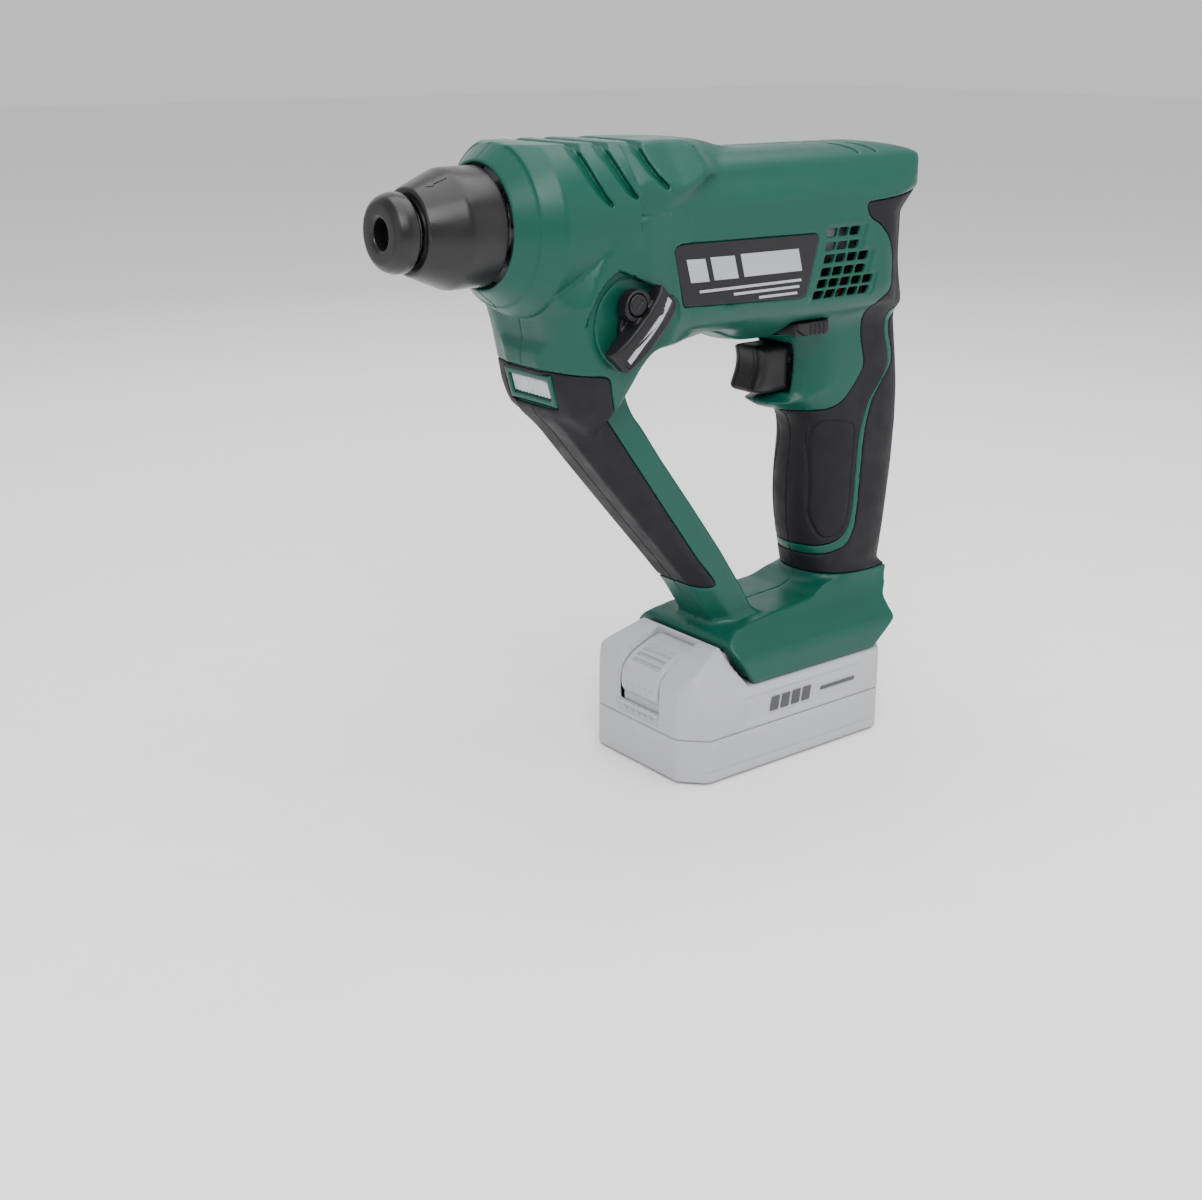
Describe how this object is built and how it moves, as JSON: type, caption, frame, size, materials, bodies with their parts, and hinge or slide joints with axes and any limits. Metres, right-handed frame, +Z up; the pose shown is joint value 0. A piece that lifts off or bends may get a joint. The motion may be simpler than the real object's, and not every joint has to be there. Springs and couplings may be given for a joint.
{
  "type": "cordless rotary hammer",
  "caption": "Compact cordless rotary hammer with a sliding bit chuck, mode knob, trigger, a front strut joining the body to the foot, and a slide-on battery pack.",
  "frame": {"origin": "centre of the battery's flat underside, on which the tool stands", "axes": "+X forwards along the drilling direction, +Y to the tool's left, +Z up"},
  "size_m": [0.2524, 0.0763, 0.2546],
  "materials": {
    "green_abs": "fine moulded grain, satin",
    "soft_rubber": "soft, matt, fine grain",
    "label_plastic": "flat printed plate, satin",
    "lens_clear": "clear moulded lens with flutes",
    "screw_steel": "black oxide",
    "case_metal": "die-cast",
    "bearing_steel": "ground and polished",
    "bronze": "sintered bronze",
    "seal_rubber": "smooth, slightly glossy",
    "hardened_steel": "hardened and ground",
    "gear_steel": "sintered, oiled",
    "spring_steel": "spring wire",
    "piston_alloy": "turned, anodised",
    "sleeve_plastic": "black, satin to gloss",
    "motor_steel": "phosphated steel",
    "ferrite": "sintered ferrite",
    "armature_copper": "laminations with copper winding",
    "fan_plastic": "natural nylon",
    "card_plastic": "phenolic",
    "carbon": "pressed carbon",
    "control_plastic": "fine grain, satin",
    "switch_plastic": "satin",
    "wire_insulation": "PVC insulation",
    "battery_shell": "pale grey, satin",
    "cell_wrap": "printed sleeve over a steel can",
    "contact_brass": "plated spring contacts"
  },
  "bodies": {
    "tool": {"housing_left": "green_abs", "housing_right": "green_abs", "grip_rubber_left": "soft_rubber", "grip_rubber_right": "soft_rubber", "strut_rubber_left": "soft_rubber", "strut_rubber_right": "soft_rubber", "label_plate_left": "label_plastic", "label_plate_right": "label_plastic", "lamp_bezel": "green_abs", "lamp_lens": "lens_clear", "housing_screws": "screw_steel", "gear_case": "case_metal", "bearing_plate": "case_metal", "front_bearing": "bearing_steel", "rear_bearing": "bronze", "nose_seal": "seal_rubber", "intermediate_bearings": "bearing_steel", "motor_can": "motor_steel", "motor_magnets": "ferrite", "motor_bearings": "bearing_steel", "brush_card": "card_plastic", "carbon_brushes": "carbon", "switch_body": "switch_plastic", "wiring": "wire_insulation", "terminal_block": "switch_plastic", "trigger_spring": "spring_steel"},
    "spindle": {"spindle": "hardened_steel", "spindle_gear": "gear_steel", "clutch_spring": "spring_steel", "retaining_ring": "hardened_steel", "dust_cap": "seal_rubber", "sleeve_spring": "spring_steel"},
    "sleeve": {"chuck_sleeve": "sleeve_plastic", "lock_ring": "hardened_steel"},
    "ball_upper": {"locking_ball_upper": "hardened_steel"},
    "ball_lower": {"locking_ball_lower": "hardened_steel"},
    "piston": {"piston": "piston_alloy"},
    "striker": {"striker": "hardened_steel"},
    "beat_piece": {"beat_piece": "hardened_steel"},
    "intermediate": {"intermediate_shaft": "hardened_steel", "intermediate_gear": "gear_steel", "wobble_hub": "hardened_steel"},
    "wobble": {"wobble_ring": "gear_steel"},
    "clutch": {"dog_clutch": "gear_steel"},
    "fork": {"selector_fork": "hardened_steel"},
    "rotor": {"armature": "armature_copper", "motor_shaft": "hardened_steel", "motor_pinion": "gear_steel", "cooling_fan": "fan_plastic"},
    "knob": {"mode_knob": "control_plastic"},
    "knob_button": {"knob_button": "control_plastic"},
    "trigger": {"trigger": "control_plastic"},
    "direction": {"direction_lever": "control_plastic"},
    "battery": {"battery_case_lower": "battery_shell", "battery_case_upper": "battery_shell", "battery_cells": "cell_wrap", "battery_contacts": "contact_brass", "latch_spring": "spring_steel"},
    "latch": {"battery_latch": "battery_shell"}
  },
  "joints": [
    {"name": "spindle_spin", "type": "hinge", "parent": "tool", "child": "spindle", "pos_m": [0.1, 0, 0.226], "axis": [1, 0, 0], "continuous": true},
    {"name": "sleeve_slide", "type": "slide", "parent": "spindle", "child": "sleeve", "axis": [-1, 0, 0], "range_m": [0, 0.008], "stiffness_N_per_m": 1500, "springref_m": -0.004, "deforming": ["sleeve_spring"]},
    {"name": "ball_upper_slide", "type": "slide", "parent": "spindle", "child": "ball_upper", "axis": [0, 0, 1], "range_m": [0, 0.0015]},
    {"name": "ball_lower_slide", "type": "slide", "parent": "spindle", "child": "ball_lower", "axis": [0, 0, -1], "range_m": [0, 0.0015]},
    {"name": "intermediate_spin", "type": "hinge", "parent": "tool", "child": "intermediate", "pos_m": [0.05, 0, 0.201], "axis": [1, 0, 0], "continuous": true},
    {"name": "motor_spin", "type": "hinge", "parent": "tool", "child": "rotor", "pos_m": [-0.02, 0, 0.219], "axis": [1, 0, 0], "continuous": true},
    {"name": "wobble_rock", "type": "hinge", "parent": "tool", "child": "wobble", "pos_m": [0.038, 0, 0.201], "axis": [0, 1, 0], "range_deg": [-15, 15]},
    {"name": "piston_slide", "type": "slide", "parent": "tool", "child": "piston", "axis": [1, 0, 0], "range_m": [-0.0066, 0.0066]},
    {"name": "striker_slide", "type": "slide", "parent": "tool", "child": "striker", "axis": [1, 0, 0], "range_m": [0, 0.007]},
    {"name": "beat_piece_slide", "type": "slide", "parent": "tool", "child": "beat_piece", "axis": [1, 0, 0], "range_m": [0, 0.0044]},
    {"name": "knob_turn", "type": "hinge", "parent": "tool", "child": "knob", "pos_m": [0.085, 0.03, 0.19], "axis": [0, 1, 0], "range_deg": [-45, 45]},
    {"name": "knob_button_slide", "type": "slide", "parent": "knob", "child": "knob_button", "axis": [0, -1, 0], "range_m": [0, 0.0015], "stiffness_N_per_m": 800, "springref_m": -0.001},
    {"name": "fork_slide", "type": "slide", "parent": "tool", "child": "fork", "axis": [1, 0, 0], "range_m": [-0.0022, 0.0022]},
    {"name": "clutch_slide", "type": "slide", "parent": "intermediate", "child": "clutch", "axis": [1, 0, 0], "range_m": [-0.0022, 0.0022]},
    {"name": "trigger_slide", "type": "slide", "parent": "tool", "child": "trigger", "axis": [-1, 0, 0], "range_m": [0, 0.006], "stiffness_N_per_m": 1200, "springref_m": -0.003, "deforming": ["trigger_spring"]},
    {"name": "direction_slide", "type": "slide", "parent": "tool", "child": "direction", "axis": [0, 1, 0], "range_m": [-0.003, 0.003]},
    {"name": "battery_slide", "type": "slide", "parent": "tool", "child": "battery", "axis": [1, 0, 0], "range_m": [0, 0.09]},
    {"name": "latch_press", "type": "slide", "parent": "battery", "child": "latch", "axis": [0, 0, -1], "range_m": [0, 0.0035], "stiffness_N_per_m": 1500, "springref_m": -0.002, "deforming": ["latch_spring"]}
  ],
  "couplings": [
    {"joint": "intermediate_spin", "follows": "spindle_spin", "ratio": -3.1667},
    {"joint": "motor_spin", "follows": "spindle_spin", "ratio": 12.667},
    {"joint": "piston_slide", "follows": "wobble_rock", "m_per_rad": 0.025},
    {"joint": "ball_upper_slide", "follows": "sleeve_slide", "ratio": 0.1875},
    {"joint": "ball_lower_slide", "follows": "sleeve_slide", "ratio": 0.1875},
    {"joint": "fork_slide", "follows": "knob_turn", "m_per_rad": 0.0027},
    {"joint": "clutch_slide", "follows": "knob_turn", "m_per_rad": 0.0027}
  ]
}
